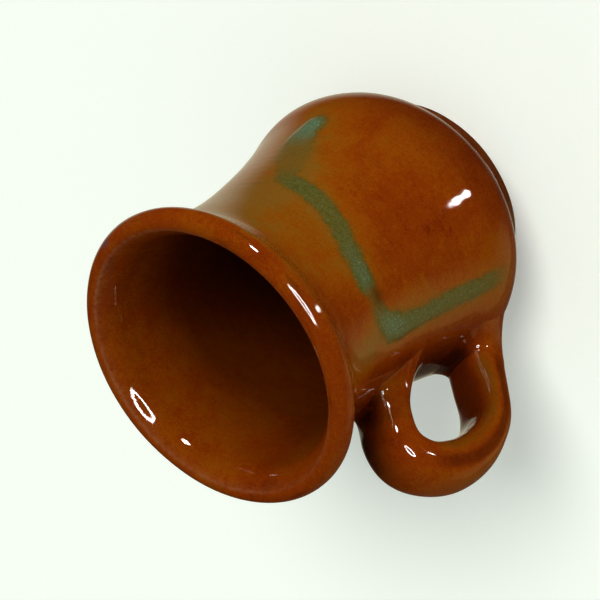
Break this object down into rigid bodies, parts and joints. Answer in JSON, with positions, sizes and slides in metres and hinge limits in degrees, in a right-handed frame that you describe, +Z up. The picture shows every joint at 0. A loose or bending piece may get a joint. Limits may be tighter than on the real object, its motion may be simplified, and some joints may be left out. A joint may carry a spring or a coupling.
{
  "type": "mug",
  "caption": "Small glazed earthenware mug with a rounded belly, narrowed neck, flared lip and a thick looped strap handle, standing on a low flat foot.",
  "frame": {"origin": "middle of the foot's underside, the face the mug stands on", "axes": "+Z up along the mug's own axis, the handle points to -X, +X is the side away from the handle, -Y is the side seen in the picture"},
  "size_m": [0.1196, 0.092, 0.1084],
  "materials": {
    "brown_glazed_clay": "clear glossy honey-brown glaze over red clay",
    "handle_glazed_clay": "clear glossy honey-brown glaze over red clay, darker in the hollows",
    "lining_glaze": "glossy dark brown glaze",
    "green_glaze": "glossy speckled copper-green glaze with soft edges",
    "foot_clay": "dark brown thin glaze on the edge, bare clay underneath"
  },
  "bodies": {
    "root": {"vessel_wall": "brown_glazed_clay", "foot_disc": "foot_clay", "glaze_lining": "lining_glaze", "handle_strap": "handle_glazed_clay", "upper_joint": "handle_glazed_clay", "lower_joint": "handle_glazed_clay", "green_trail_front": "green_glaze", "green_trail_back": "green_glaze"}
  },
  "joints": []
}
